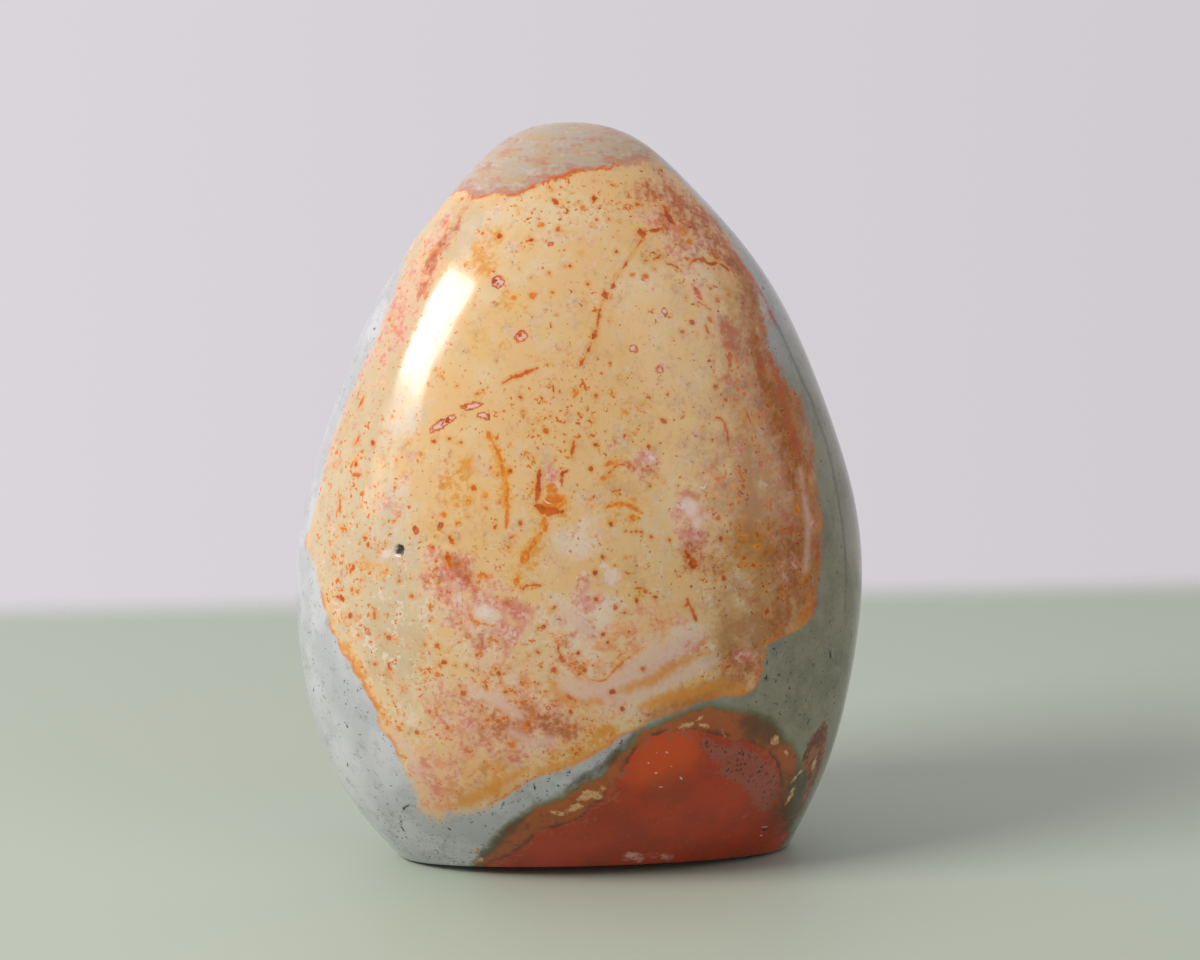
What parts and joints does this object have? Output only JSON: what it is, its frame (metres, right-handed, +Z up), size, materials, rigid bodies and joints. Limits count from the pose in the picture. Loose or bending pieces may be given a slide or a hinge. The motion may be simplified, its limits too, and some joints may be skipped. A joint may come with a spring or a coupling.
{
  "type": "polished polychrome jasper freeform",
  "caption": "Egg-shaped polished stone of polychrome jasper that stands on its sawn flat base, cream and rust above grey with a brick-red dome low in front.",
  "frame": {"origin": "on the sawn base, under the middle of the stone's box", "axes": "+Z up from the base to the tip, X across the broad show face, -Y out of the show face"},
  "size_m": [0.0846, 0.0546, 0.1093],
  "materials": {
    "polished_jasper": "high polish, mottled cream, ochre, rust, grey and brick red"
  },
  "bodies": {
    "root": {"jasper_stone": "polished_jasper"}
  },
  "joints": []
}
